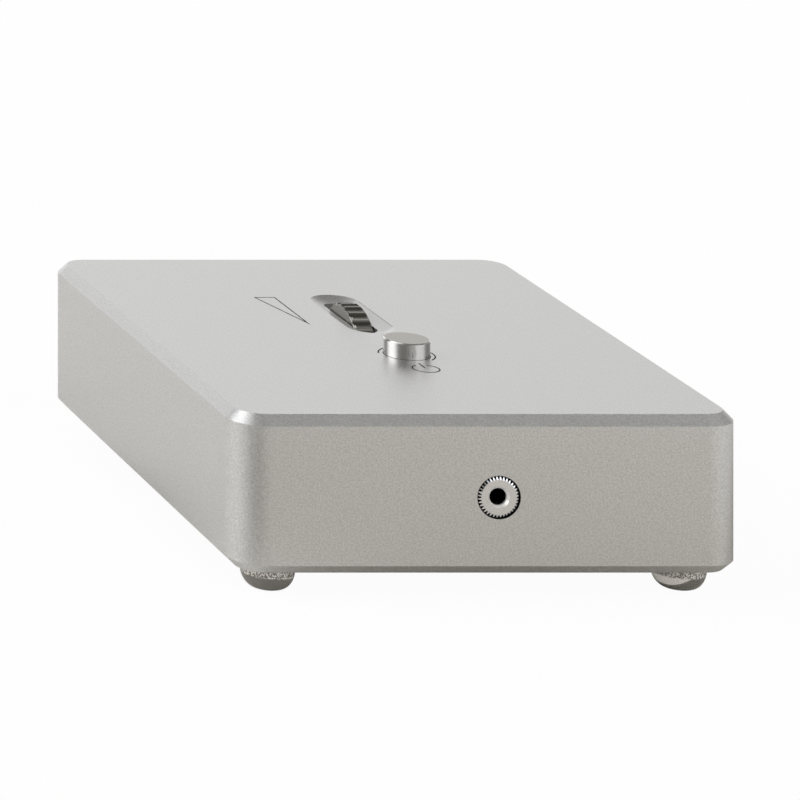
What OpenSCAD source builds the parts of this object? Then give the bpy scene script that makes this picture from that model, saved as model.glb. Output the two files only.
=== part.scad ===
// Phono preamp in a milled aluminium case, with a headphone socket in the front,
// a push button and a thumb wheel for the volume in the top, and sockets at the rear.
// Millimetres, +Z up, front face towards -Y. The origin is on the table surface,
// below the middle of the whole outline, rear sockets included.

/* [Case] */
// Width of the case, side to side
case_w = 105; // [100:1:120]
// Length of the case, front to back
case_l = 125; // [118:1:150]
// Height of the case without its feet
case_h = 32.8; // [32:0.2:40]
// Radius of the four upright corners
corner_r = 7; // [5:0.5:9]
// Edge break round the top, at 45 degrees
top_chamfer = 2; // [1:0.25:3]
// Edge break round the underside, at 45 degrees
bottom_chamfer = 2; // [1:0.25:2.25]
// Thickness of the upright walls
wall = 4.5; // [4:0.25:5.5]
// Thickness of the top
top_t = 3.5; // [3:0.25:4.5]
// Thickness of the bottom plate
plate_t = 2; // [1.5:0.25:3]
// Width of the ledge that the bottom plate seats on
plate_ledge = 1; // [0.75:0.25:1.25]

/* [Feet] */
// Height of a foot
foot_h = 5.3; // [3:0.1:8]
// Diameter of a foot where it meets the case
foot_d = 11; // [8:0.5:12]
// Distance of a foot's middle from the side of the case
foot_from_side = 9.7; // [9.5:0.1:14]
// Distance of a foot's middle from the front or the back
foot_from_end = 9.5; // [9.5:0.1:14]
// How much further in from the side the rear feet stand
rear_foot_in = 2; // [0:0.25:4]

/* [Volume wheel] */
// Diameter of the thumb wheel
wheel_d = 24; // [20:0.5:25]
// Width of the thumb wheel's rim
wheel_t = 4.1; // [3:0.1:5]
// How far the wheel stands above the top
wheel_proud = 1.8; // [1:0.05:2]
// Distance of the wheel's axis from the front of the case
wheel_from_front = 78.3; // [70:0.1:84]
// Number of finger grooves round the rim
wheel_flutes = 32; // [20:1:36]
// Depth of a finger groove
flute_depth = 0.4; // [0.2:0.05:0.6]
// Length of the finger scoop in the top
scoop_l = 31; // [26:0.2:36]
// Width of the finger scoop
scoop_w = 10.3; // [9:0.1:14]
// Depth of the finger scoop
scoop_depth = 1.35; // [0.8:0.05:2]
// Diameter of the control's spindle
spindle_d = 6; // [4:0.5:6]

/* [Power button] */
// Diameter of the button
button_d = 9.5; // [7:0.1:12]
// How far the button stands above the top
button_proud = 3.5; // [2.6:0.1:5]
// Distance of the button's middle from the front of the case
button_from_front = 45.6; // [36:0.1:52]
// How far the button travels when it is pressed
button_travel = 1.6; // [1:0.1:2]
// Diameter of the spring's wire
spring_wire_d = 0.5; // [0.3:0.05:0.6]

/* [Headphone socket] */
// Diameter of the plug that goes in
plug_d = 3.5; // [2.5:0.5:3.5]
// Diameter of the toothed ring nut
jack_nut_d = 8.5; // [8:0.1:10]
// Number of teeth round the ring nut
jack_nut_teeth = 36; // [24:1:48]
// Diameter of the socket's threaded bush
jack_bush_d = 6; // [5.5:0.1:6.5]
// Depth of the ring nut in its pocket
jack_nut_t = 2.4; // [2:0.1:3]
// Distance of the socket to the right of the middle of the front
jack_x = 1.7; // [0:0.1:4]
// Height of the socket above the underside of the case
jack_up = 16.15; // [14:0.05:18]

/* [Rear sockets] */
// Distance of the outermost sockets from the sides of the case
rear_margin = 12.5; // [12:0.5:14]
// Diameter of a phono socket's barrel
phono_d = 8.3; // [8.2:0.05:8.4]
// Length of a phono socket's barrel behind its collar
phono_l = 9; // [8:0.5:12]
// Diameter of a phono socket's collar
phono_collar_d = 11.5; // [10:0.25:12]
// Thickness of the collars on the rear wall
collar_t = 2; // [1:0.25:3]
// Diameter of the ground post
post_d = 4; // [3:0.5:4.5]
// Diameter of the ground post's thumb nut
thumb_nut_d = 10; // [8:0.5:11]
// Length of the ground post's thumb nut
thumb_nut_l = 4.5; // [3:0.5:6]
// How far the thumb nut unscrews
thumb_nut_travel = 2.1; // [1:0.1:2.4]
// Diameter of the power inlet's hole
inlet_bore_d = 5.8; // [5.7:0.1:6]
// Diameter of the power inlet's middle pin
inlet_pin_d = 2.1; // [2.1:0.1:2.5]
// Travel of the input selector's slider
selector_travel = 3; // [2:0.5:4]

/* [Circuit board] */
// Thickness of the circuit boards
board_t = 1.6; // [1:0.1:2]
// Gap between the thumb wheel and the main board below it
wheel_board_gap = 1.8; // [1:0.05:2.5]

/* [Clearances] */
// Gap round the bottom plate
plate_gap = 0.25; // [0.15:0.05:0.4]
// Radial gap of the button in its hole
button_gap = 0.15; // [0.1:0.05:0.3]
// Gap on each side of the wheel in its slot
wheel_gap = 0.25; // [0.2:0.05:1]
// Radial gap of a spindle or post in its hole
running_gap = 0.05; // [0.03:0.01:0.1]

/* [Hidden] */
$fn = 72;
foot_names = ["front_left", "front_right", "rear_left", "rear_right"];
phono_names = ["output_right", "output_left", "input_right", "input_left"];

// Cuts reach past the faces that they open by this much
eps = 0.1;
// Gap of a hidden seat, so that seated pieces touch without overlapping
seat_gap = 0.02;

// Outline and levels
rear_reach = collar_t + phono_l;
front_y = -(case_l + rear_reach) / 2;
back_y = front_y + case_l;
mid_y = (front_y + back_y) / 2;
base_z = foot_h;
top_z = base_z + case_h;
mid_z = base_z + case_h / 2;
floor_z = base_z + plate_t;
ceiling_z = top_z - top_t;
wheel_r = wheel_d / 2;
wheel_z = top_z + wheel_proud - wheel_r;
board_top = wheel_z - wheel_r - wheel_board_gap;
board_z = board_top - board_t;
pillar_h = board_z - floor_z;

// Cavity and bottom plate
cavity_w = case_w - 2 * wall;
cavity_l = case_l - 2 * wall;
cavity_r = 2.5;
rebate_w = cavity_w + 2 * plate_ledge;
rebate_l = cavity_l + 2 * plate_ledge;
rebate_r = cavity_r + plate_ledge;

// Screw bosses along the side walls, which hold the bottom plate
screw_d = 3;
screw_head_d = 5.6;
boss_d = 7.5;
boss_h = 10;
boss_from_end = 24;
boss_sink = 0.5;
boss_x = cavity_w / 2 - boss_d / 2 + boss_sink;
boss_places = [for (x = [-boss_x, boss_x])
    for (y = [front_y + boss_from_end, back_y - boss_from_end]) [x, y]];
bottom_screw_in = 6;
bottom_screw_l = plate_t + bottom_screw_in;
screw_key_d = 2;
screw_key_depth = 1.2;

// Feet: a short straight band over a dome with a small flat tip
foot_x = case_w / 2 - foot_from_side;
rear_foot_x = foot_x - rear_foot_in;
front_feet_y = front_y + foot_from_end;
rear_feet_y = back_y - foot_from_end;
foot_places = [[-foot_x, front_feet_y], [foot_x, front_feet_y],
               [-rear_foot_x, rear_feet_y], [rear_foot_x, rear_feet_y]];
foot_tip_share = 0.45;
foot_band_share = 0.2;
foot_tip_r = foot_tip_share * foot_d / 2;
foot_band_h = foot_band_share * foot_h;
foot_dome_steps = 7;

// Main board, held on four pillars
board_side_gap = 0.75;
board_end_gap = 2;
board_w = 2 * (boss_x - boss_d / 2 - board_side_gap);
board_l = cavity_l - 2 * board_end_gap;
pillar_inset = 5;
pillar_d = 6;
board_screw_head_d = 5.5;
board_screw_head_h = 1.8;
board_screw_in = 0.6 * pillar_h;
board_slot_w = 0.8;
board_slot_depth = 0.8;
pillar_places = [for (x = [-1, 1]) for (y = [-1, 1])
    [x * (board_w / 2 - pillar_inset), mid_y + y * (board_l / 2 - pillar_inset)]];

// Parts in two columns on the main board, beside the controls
column_from_side = 9;
column_from_end = 16;
column_x = board_w / 2 - column_from_side;
column_y = board_l / 2 - column_from_end;
electrolytic_d = 8;
electrolytic_h = 11.5;
electrolytic_pitch = 12;
film_w = 7.2;
film_t = 2.6;
film_h = 6.5;
film_pitch = 8;
film_from_column = 10;
chip_w = 9.8;
chip_l = 6.4;
chip_h = 3.4;
chip_pitch = 14;
chip_from_middle = 8;
regulator_w = 10;
regulator_t = 4.4;
regulator_h = 9;
regulator_tab_t = 1.2;
regulator_tab_h = 15;
regulator_hole_d = 3.6;
regulator_hole_z = 12.2;
regulator_from_end = 20;

// Volume wheel, its spindle along X and the control that it turns
wheel_y = front_y + wheel_from_front;
flute_r = 1.5;
wheel_edge = 0.4;
wheel_web_t = wheel_t * 0.55;
wheel_rim_t = 6;
wheel_hub_d = spindle_d + 3;
slot_w = wheel_t + 2 * wheel_gap;
slot_r = 0.44 * slot_w;
slot_end_gap = 1.6;
slot_back = 0.1;
wheel_chord = sqrt(pow(wheel_r, 2) - pow(wheel_r - wheel_proud - top_t, 2));
slot_l = 2 * (wheel_chord + slot_end_gap);
scoop_forward = 0.7;
scoop_ball_r = (pow(scoop_w / 2, 2) + pow(scoop_depth, 2)) / (2 * scoop_depth);
scoop_ball_z = top_z - scoop_depth + scoop_ball_r;
control_bush_l = 2.5;
control_bush_d = spindle_d + 2;
control_t = 7;
control_w = 11;
control_h = 11.4;
control_x = -wheel_t / 2 - wheel_gap - control_bush_l;
spindle_in = 5;
volume_board_w = 18;
wheel_screw_d = 2;
wheel_screw_head_d = 4.2;
wheel_screw_head_h = 1.3;
wheel_screw_l = 5;
wheel_screw_flange_d = spindle_d + 1;
wheel_screw_flange_t = 0.4;
wheel_screw_slot_w = 0.6;
wheel_screw_slot_depth = 0.5;
spindle_end_gap = 0.3;

// Power button, its plunger, spring and switch
button_r = button_d / 2;
button_y = front_y + button_from_front;
button_edge = 0.22;
button_lip_r = button_r + 1.2;
button_lip_t = 1;
button_rest_gap = 0.1;
button_low_z = ceiling_z - button_rest_gap - button_lip_t;
plunger_r = 1.75;
plunger_in = 3;
plunger_end_gap = 0.5;
spring_h = 5;
spring_turns = 5;
spring_r = plunger_r + 0.6 + spring_wire_d;
spring_steps = 16;
spring_sides = 6;
switch_w = 8.5;
switch_top_z = button_low_z - spring_h;

// Headphone socket in the front
jack_z = base_z + jack_up;
jack_bore_r = plug_d / 2 + 0.05;
jack_mouth_r = jack_bore_r + 0.42;
jack_mouth_t = 0.55;
jack_pocket_gap = 0.25;
jack_nut_edge = 0.6;
jack_nut_bevel = 0.3;
jack_tooth_depth = 0.55;
jack_body_w = 11;
jack_body_l = 15;
jack_body_rise = 5;
jack_bush_in = 3;
jack_hollow_r = jack_bore_r + 0.25;
jack_hollow_l = 11;
tag_w = 1.2;
tag_t = 0.4;
tag_pitch = 3.6;

// Stations across the rear wall, evenly spaced
station_pitch = (case_w - 2 * rear_margin) / 6;
function station_x(i) = -case_w / 2 + rear_margin + i * station_pitch;
inlet_x = station_x(0);
selector_x = station_x(3);
post_x = station_x(4);
phono_stations = [1, 2, 5, 6];
rear_z = mid_z;

// Phono sockets
phono_thread_step = 0.35;
phono_shell_t = 0.9;
phono_tail = 4.5;
phono_shank_d = phono_d - 2 * phono_thread_step;
phono_shank_l = wall + phono_tail;
phono_bore_r = phono_d / 2 - phono_shell_t;
phono_recess = 0.6;
contact_bore_r = 1.6;
contact_r = 2.1;
contact_bore_l = 10;
contact_tail_l = 3.5;
insulator_tail_l = 1;
contact_tail_d = 1.6;
contact_recess = 0.4;
phono_edge = 0.3;
nut_t = 2.4;
nut_extra = 2.7;
hole_gap = 0.1;

// Ground post
washer_t = 0.8;
washer_d = thumb_nut_d - 1;
post_collar_d = 9;
lug_gap = 0.2;
post_end = 0.5;
post_tail = 5;
post_out = collar_t + lug_gap + washer_t + thumb_nut_l + thumb_nut_travel + post_end;
post_in = wall + post_tail;
thumb_nut_edge = 0.3;
thumb_nut_grooves = 24;
thumb_groove_w = 0.8;
thumb_groove_out = 0.15;

// Power inlet
inlet_barrel_t = 1.1;
inlet_collar_w = 1.5;
inlet_edge = 0.4;
inlet_tail = 8;
inlet_barrel_d = inlet_bore_d + 2 * inlet_barrel_t;
inlet_collar_d = inlet_barrel_d + 2 * inlet_collar_w;
inlet_bore_l = 9.5;
inlet_body_l = wall + inlet_tail;
inlet_pin_short = 0.6;
inlet_root_d = inlet_pin_d + 0.8;
inlet_root_l = 2;

// Input selector
slider_w = 4;
slider_h = 2.6;
slider_out = 1.2;
selector_gap = 0.3;
selector_body_t = 4;
selector_rim_w = 2;
selector_rim_h = 1.5;
window_w = slider_w + selector_travel + 2 * selector_gap;
window_h = slider_h + 2 * selector_gap;
selector_body_w = window_w + 2 * selector_rim_w;
selector_body_h = window_h + 2 * selector_rim_h;
slider_in = 2;

// A flat rounded rectangle, centred
module rounded_rectangle(w, l, r) {
    square([w - 2 * r, l], center = true);
    square([w, l - 2 * r], center = true);
    for (x = [-1, 1])
        for (y = [-1, 1])
            translate([x * (w / 2 - r), y * (l / 2 - r)])
                circle(r);
}

// Half outline of a block whose lower and upper edges are broken, for a slab or a corner
function broken_edges(reach, h, low, high) =
    [[reach - low, 0], [reach, low], [reach, h - high], [reach - high, h]];

// A slab with broken edges, centred, with its length along X
module broken_slab(length, reach, h, low, high) {
    half = broken_edges(reach, h, low, high);
    other = [for (i = [3:-1:0]) [-half[i][0], half[i][1]]];
    rotate([90, 0, 90])
        linear_extrude(length, center = true)
            polygon(concat(half, other));
}

// A block with round upright corners and edge breaks that follow them
module broken_block(w, l, h, r, low, high) {
    broken_slab(w - 2 * r, l / 2, h, low, high);
    rotate(90)
        broken_slab(l - 2 * r, w / 2, h, low, high);
    for (x = [-1, 1])
        for (y = [-1, 1])
            translate([x * (w / 2 - r), y * (l / 2 - r), 0])
                rotate_extrude()
                    polygon(concat([[0, 0]], broken_edges(r, h, low, high), [[0, h]]));
}

// A cylinder along +Y from the given point, or a tube where bore is above zero
module along_y(x, y, z, d, length, bore = 0) {
    translate([x, y, z])
        rotate([-90, 0, 0])
            difference() {
                cylinder(d = d, h = length);
                if (bore > 0)
                    translate([0, 0, -eps])
                        cylinder(d = bore, h = length + 2 * eps);
            }
}

// A hexagonal nut round Y, against the inside of the rear wall, with flats at its sides
module rear_nut(x, thread_d) {
    translate([x, back_y - wall, rear_z])
        rotate([90, 30, 0])
            difference() {
                cylinder(d = (thread_d + nut_extra) / cos(30), h = nut_t, $fn = 6);
                translate([0, 0, -eps])
                    cylinder(d = thread_d + 2 * seat_gap, h = nut_t + 2 * eps);
            }
}

// The dished finger scoop that a ball cutter leaves round the wheel
module scoop_cut() {
    reach = scoop_l / 2 - scoop_w / 2;
    translate([0, wheel_y - scoop_forward, scoop_ball_z]) {
        rotate([90, 0, 0])
            cylinder(r = scoop_ball_r, h = 2 * reach, center = true);
        for (y = [-reach, reach])
            translate([0, y, 0])
                sphere(scoop_ball_r);
    }
}

module wheel_slot_cut() {
    translate([0, wheel_y + slot_back, ceiling_z - eps])
        linear_extrude(top_t + 2 * eps)
            rounded_rectangle(slot_w, slot_l, slot_r);
}

// Pocket and hole in the front wall for the headphone socket
module headphone_cut() {
    along_y(jack_x, front_y - eps, jack_z, jack_nut_d + 2 * jack_pocket_gap, jack_nut_t + eps);
    along_y(jack_x, front_y, jack_z, jack_bush_d + 2 * hole_gap, wall + eps);
}

module rear_cuts() {
    for (i = phono_stations)
        along_y(station_x(i), back_y - wall - eps, rear_z, phono_shank_d + 2 * hole_gap, wall + 2 * eps);
    along_y(post_x, back_y - wall - eps, rear_z, post_d + 2 * hole_gap, wall + 2 * eps);
    along_y(inlet_x, back_y - wall - eps, rear_z, inlet_barrel_d + 2 * hole_gap, wall + 2 * eps);
    translate([selector_x - window_w / 2, back_y - wall - eps, rear_z - window_h / 2])
        cube([window_w, wall + 2 * eps, window_h]);
}

module boss_post() {
    rotate_extrude()
        polygon([[screw_d / 2 + running_gap, 0], [boss_d / 2, 0],
                 [boss_d / 2, boss_h], [screw_d / 2 + running_gap, boss_h]]);
}

// The milled case: top and four walls in one piece, open below
module housing() {
    color("#c9c9c7")
        union() {
            difference() {
                translate([0, mid_y, base_z])
                    broken_block(case_w, case_l, case_h, corner_r, bottom_chamfer, top_chamfer);
                translate([0, mid_y, base_z - eps])
                    linear_extrude(case_h - top_t + eps)
                        rounded_rectangle(cavity_w, cavity_l, cavity_r);
                translate([0, mid_y, base_z - eps])
                    linear_extrude(plate_t + eps)
                        rounded_rectangle(rebate_w, rebate_l, rebate_r);
                scoop_cut();
                wheel_slot_cut();
                translate([0, button_y, ceiling_z - eps])
                    cylinder(r = button_r + button_gap, h = top_t + 2 * eps);
                headphone_cut();
                rear_cuts();
            }
            for (p = boss_places)
                translate([p[0], p[1], floor_z])
                    boss_post();
        }
}

// Cover of the underside, let into the case and screwed to its bosses
module bottom_plate() {
    color("#8f9091")
        difference() {
            translate([0, mid_y, base_z])
                linear_extrude(plate_t)
                    rounded_rectangle(rebate_w - 2 * plate_gap, rebate_l - 2 * plate_gap,
                                      rebate_r - plate_gap);
            for (p = boss_places)
                translate([p[0], p[1], base_z])
                    countersunk_shape(running_gap, plate_t + eps);
        }
}

// Outline of a countersunk screw pointing up, grown by a gap, as far as the given length
module countersunk_shape(gap, length) {
    head_r = screw_head_d / 2 + gap;
    shank_r = screw_d / 2 + gap;
    cone_h = head_r - shank_r;
    rotate_extrude()
        polygon([[0, -eps], [head_r, -eps], [head_r, 0], [shank_r, cone_h], [shank_r, length], [0, length]]);
}

module bottom_screws() {
    color("#5b5c5e")
        for (p = boss_places)
            translate([p[0], p[1], base_z])
                difference() {
                    intersection() {
                        countersunk_shape(0, bottom_screw_l);
                        cylinder(d = screw_head_d, h = bottom_screw_l);
                    }
                    translate([0, 0, -eps])
                        cylinder(d = screw_key_d, h = screw_key_depth + eps, $fn = 6);
                }
}

// A clear bumper, widest where it is stuck to the case
module foot(place) {
    foot_r = foot_d / 2;
    dome_h = foot_h - foot_band_h;
    dome = [for (i = [0:foot_dome_steps])
        let (a = 90 * i / foot_dome_steps)
            [foot_tip_r + (foot_r - foot_tip_r) * sin(a), dome_h * (1 - cos(a))]];
    color("#d8dad6")
        translate([place[0], place[1], 0])
            rotate_extrude()
                polygon(concat([[0, 0]], dome, [[foot_r, foot_h], [0, foot_h]]));
}

module main_board() {
    color("#1f4d36")
        difference() {
            translate([-board_w / 2, mid_y - board_l / 2, board_z])
                cube([board_w, board_l, board_t]);
            for (p = pillar_places)
                translate([p[0], p[1], board_z - eps])
                    cylinder(d = screw_d + 2 * hole_gap, h = board_t + 2 * eps);
        }
}

module board_pillars() {
    color("#c2b280")
        for (p = pillar_places)
            translate([p[0], p[1], floor_z])
                difference() {
                    cylinder(d = pillar_d, h = pillar_h, $fn = 6);
                    translate([0, 0, eps])
                        cylinder(d = screw_d + 2 * running_gap, h = pillar_h);
                }
}

module board_screws() {
    color("#b9bbbe")
        for (p = pillar_places)
            translate([p[0], p[1], board_top])
                difference() {
                    union() {
                        cylinder(d = board_screw_head_d, h = board_screw_head_h);
                        translate([0, 0, -board_t - board_screw_in])
                            cylinder(d = screw_d, h = board_t + board_screw_in + eps);
                    }
                    translate([-board_screw_head_d, -board_slot_w / 2, board_screw_head_h - board_slot_depth])
                        cube([2 * board_screw_head_d, board_slot_w, board_slot_depth + eps]);
                }
}

module electrolytic_capacitors() {
    color("#22252b")
        for (x = [-1, 1])
            for (i = [0:2])
                translate([x * column_x, mid_y - column_y + electrolytic_pitch * i, board_top])
                    cylinder(d = electrolytic_d, h = electrolytic_h);
}

module film_capacitors() {
    color("#b5382c")
        for (x = [-1, 1])
            for (i = [0:3])
                translate([x * (column_x - film_from_column) - film_w / 2,
                           mid_y - column_y + film_pitch * i, board_top])
                    cube([film_w, film_t, film_h]);
}

module amplifier_chips() {
    color("#191a1c")
        for (x = [-1, 1])
            for (i = [0:1])
                translate([x * column_x - chip_w / 2, mid_y + chip_from_middle + chip_pitch * i, board_top])
                    cube([chip_w, chip_l, chip_h]);
}

// Upright regulators near the sockets, each with a drilled tab behind its body
module voltage_regulators() {
    color("#2b2c2f")
        for (x = [-1, 1])
            translate([x * column_x - regulator_w / 2, mid_y + board_l / 2 - regulator_from_end, board_top])
                difference() {
                    union() {
                        cube([regulator_w, regulator_t, regulator_h]);
                        translate([0, regulator_t - regulator_tab_t, 0])
                            cube([regulator_w, regulator_tab_t, regulator_tab_h]);
                    }
                    translate([regulator_w / 2, regulator_t + eps, regulator_hole_z])
                        rotate([90, 0, 0])
                            cylinder(d = regulator_hole_d, h = regulator_tab_t + 2 * eps);
                }
}

// Moulded body of the headphone socket, behind the front wall and down to the board
module headphone_body() {
    y0 = front_y + wall;
    color("#17181a")
        difference() {
            translate([jack_x - jack_body_w / 2, y0, board_top])
                cube([jack_body_w, jack_body_l, jack_z + jack_body_rise - board_top]);
            along_y(jack_x, y0 - eps, jack_z, jack_bush_d + 2 * seat_gap, jack_bush_in + eps);
            along_y(jack_x, y0, jack_z, 2 * jack_hollow_r, jack_bush_in + jack_hollow_l);
        }
}

// Threaded metal bush, which guides the plug and takes the ring nut
module headphone_bush() {
    y0 = front_y + jack_mouth_t;
    color("#c9c6bd")
        along_y(jack_x, y0, jack_z, jack_bush_d, wall - jack_mouth_t + jack_bush_in, 2 * jack_bore_r);
}

// Toothed ring nut, flush with the front, with a coned mouth for the plug
module headphone_nut() {
    nut_r = jack_nut_d / 2;
    color("#c4c1b8")
        translate([jack_x, front_y, jack_z])
            rotate([-90, 0, 0])
                difference() {
                    rotate_extrude()
                        polygon([[jack_mouth_r, 0], [nut_r - jack_nut_edge, 0], [nut_r, jack_nut_bevel],
                                 [nut_r, jack_nut_t], [jack_bush_d / 2 + seat_gap, jack_nut_t],
                                 [jack_bush_d / 2 + seat_gap, jack_mouth_t],
                                 [jack_bore_r, jack_mouth_t]]);
                    for (i = [0:jack_nut_teeth - 1])
                        rotate(360 * i / jack_nut_teeth)
                            translate([nut_r, 0, -eps])
                                linear_extrude(jack_nut_t + 2 * eps)
                                    tooth_gap();
                }
}

// V-shaped gap between two teeth of the ring nut, with its point towards the axis
module tooth_gap() {
    half = 0.32 * PI * jack_nut_d / jack_nut_teeth;
    polygon([[-jack_tooth_depth, 0], [eps, -half], [eps, half]]);
}

module headphone_tags() {
    y0 = front_y + wall + jack_body_l;
    color("#bfc1c4")
        for (i = [-1:1])
            translate([jack_x + i * tag_pitch - tag_w / 2, y0, board_top])
                cube([tag_w, tag_t, jack_z - board_top]);
}

// Turns what is inside from the Z axis to the volume wheel's axis, along +X
module at_wheel_axis(x) {
    translate([x, wheel_y, wheel_z])
        rotate([0, 90, 0])
            children();
}

// Thumb wheel with hollow finger grooves between narrow ribs
module volume_wheel() {
    half = wheel_t / 2;
    rim_r = wheel_r - wheel_rim_t;
    web = wheel_web_t / 2;
    color("#4a4b4d")
        at_wheel_axis(0)
            difference() {
                rotate_extrude()
                    polygon([[spindle_d / 2 + seat_gap, -half], [wheel_hub_d / 2, -half],
                             [wheel_hub_d / 2, -web], [rim_r, -web], [rim_r, -half],
                             [wheel_r - wheel_edge, -half], [wheel_r, -half + wheel_edge],
                             [wheel_r, half - wheel_edge], [wheel_r - wheel_edge, half],
                             [rim_r, half], [rim_r, web], [wheel_hub_d / 2, web],
                             [wheel_hub_d / 2, half], [spindle_d / 2 + seat_gap, half]]);
                for (i = [0:wheel_flutes - 1])
                    rotate(360 * i / wheel_flutes)
                        translate([wheel_r + flute_r - flute_depth, 0, 0])
                            cylinder(r = flute_r, h = wheel_t + 2 * eps, center = true, $fn = 36);
            }
}

module volume_spindle() {
    x0 = control_x - spindle_in;
    color("#b9bbbe")
        difference() {
            at_wheel_axis(x0)
                cylinder(d = spindle_d, h = wheel_t / 2 - x0);
            at_wheel_axis(wheel_t / 2 - wheel_screw_l - seat_gap)
                cylinder(d = wheel_screw_d + 2 * seat_gap, h = wheel_screw_l + seat_gap + eps);
        }
}

module volume_wheel_screw() {
    color("#5b5c5e")
        at_wheel_axis(wheel_t / 2)
            difference() {
                union() {
                    cylinder(d = wheel_screw_flange_d, h = wheel_screw_flange_t);
                    cylinder(d = wheel_screw_head_d, h = wheel_screw_head_h);
                    translate([0, 0, -wheel_screw_l])
                        cylinder(d = wheel_screw_d, h = wheel_screw_l + eps);
                }
                translate([-wheel_screw_head_d, -wheel_screw_slot_w / 2,
                           wheel_screw_head_h - wheel_screw_slot_depth])
                    cube([2 * wheel_screw_head_d, wheel_screw_slot_w, wheel_screw_slot_depth + eps]);
            }
}

// Rotary control with its guide bush, on the small upright board
module volume_control() {
    color("#3a3c40")
        at_wheel_axis(control_x - control_t)
            difference() {
                union() {
                    translate([-control_h / 2, -control_w / 2, 0])
                        cube([control_h, control_w, control_t]);
                    cylinder(d = control_bush_d, h = control_t + control_bush_l);
                }
                translate([0, 0, control_t - spindle_in - spindle_end_gap])
                    cylinder(d = spindle_d + 2 * running_gap,
                             h = spindle_in + spindle_end_gap + control_bush_l + eps);
            }
}

module volume_board() {
    color("#1f4d36")
        translate([control_x - control_t - board_t, wheel_y - volume_board_w / 2, board_top])
            cube([board_t, volume_board_w, wheel_z + control_h / 2 - board_top]);
}

// Turned cap that runs in the hole in the top, with a lip that keeps it in
module power_button() {
    high = top_z + button_proud - button_low_z;
    color("#b7b4ad")
        translate([0, button_y, button_low_z])
            rotate_extrude()
                polygon([[0, 0], [button_lip_r, 0], [button_lip_r, button_lip_t],
                         [button_r, button_lip_t], [button_r, high - button_edge],
                         [button_r - button_edge, high], [0, high]]);
}

module power_plunger() {
    color("#dcdcd6")
        translate([0, button_y, switch_top_z - plunger_in])
            cylinder(r = plunger_r, h = plunger_in + spring_h);
}

// Coil spring between the switch and the button
module power_spring() {
    wire_r = spring_wire_d / 2;
    steps = spring_turns * spring_steps;
    climb = spring_h - spring_wire_d - 2 * seat_gap;
    ring = [for (j = [0:spring_sides - 1]) [wire_r * cos(360 * j / spring_sides),
                                            wire_r * sin(360 * j / spring_sides)]];
    points = [for (i = [0:steps]) for (p = ring)
        let (a = 360 * i / spring_steps)
            [(spring_r + p[0]) * cos(a), (spring_r + p[0]) * sin(a), climb * i / steps + p[1]]];
    sides = [for (i = [0:steps - 1]) for (j = [0:spring_sides - 1])
        let (a = i * spring_sides + j, b = i * spring_sides + (j + 1) % spring_sides)
            each [[a, a + spring_sides, b], [b, a + spring_sides, b + spring_sides]]];
    first = [for (j = [1:spring_sides - 2]) [0, j, j + 1]];
    last_0 = steps * spring_sides;
    last = [for (j = [1:spring_sides - 2]) [last_0, last_0 + j + 1, last_0 + j]];
    color("#a9abae")
        translate([0, button_y, switch_top_z + wire_r + seat_gap])
            polyhedron(points, concat(sides, first, last));
}

module power_switch() {
    hole_l = plunger_in + button_travel + plunger_end_gap;
    color("#17181a")
        translate([0, button_y, 0])
            difference() {
                translate([-switch_w / 2, -switch_w / 2, board_top])
                    cube([switch_w, switch_w, switch_top_z - board_top]);
                translate([0, 0, switch_top_z - hole_l])
                    cylinder(r = plunger_r + running_gap, h = hole_l + eps);
            }
}

// Metal shell of a phono socket: collar, barrel for the plug and shank through the wall
module phono_shell(x) {
    color("#c8a24a")
        translate([x, back_y, rear_z])
            rotate([-90, 0, 0])
                rotate_extrude()
                    polygon([[phono_bore_r, -phono_shank_l], [phono_shank_d / 2, -phono_shank_l],
                             [phono_shank_d / 2, 0], [phono_collar_d / 2, 0],
                             [phono_collar_d / 2, collar_t - phono_edge],
                             [phono_collar_d / 2 - phono_edge, collar_t], [phono_d / 2, collar_t],
                             [phono_d / 2, rear_reach - phono_edge],
                             [phono_d / 2 - phono_edge, rear_reach], [phono_bore_r, rear_reach]]);
}

module phono_insulator(x) {
    y0 = back_y - phono_shank_l - insulator_tail_l;
    length = phono_shank_l + insulator_tail_l + rear_reach - phono_recess;
    color("#e9e9e4")
        along_y(x, y0, rear_z, 2 * (phono_bore_r - seat_gap), length, 2 * (contact_r + seat_gap));
}

// Tube for the plug's pin, closed behind, with a tail to solder
module phono_contact(x) {
    length = phono_shank_l + insulator_tail_l + rear_reach - phono_recess - contact_recess;
    y0 = back_y - phono_shank_l - insulator_tail_l;
    color("#c8a24a")
        difference() {
            union() {
                along_y(x, y0, rear_z, 2 * contact_r, length);
                along_y(x, y0 - contact_tail_l, rear_z, contact_tail_d, contact_tail_l + eps);
            }
            along_y(x, y0 + length - contact_bore_l, rear_z, 2 * contact_bore_r, contact_bore_l + eps);
        }
}

module phono_nuts() {
    color("#b9bbbe")
        for (i = phono_stations)
            rear_nut(station_x(i), phono_shank_d);
}

// Threaded ground post with a fixed collar outside the wall
module ground_post() {
    color("#c8a24a") {
        along_y(post_x, back_y - post_in, rear_z, post_d, post_in + post_out);
        along_y(post_x, back_y, rear_z, post_collar_d, collar_t);
    }
}

module ground_lock_nut() {
    color("#b9bbbe")
        rear_nut(post_x, post_d);
}

module ground_washer() {
    color("#c8a24a")
        along_y(post_x, back_y + collar_t + lug_gap, rear_z, washer_d, washer_t, post_d + 2 * running_gap);
}

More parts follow.
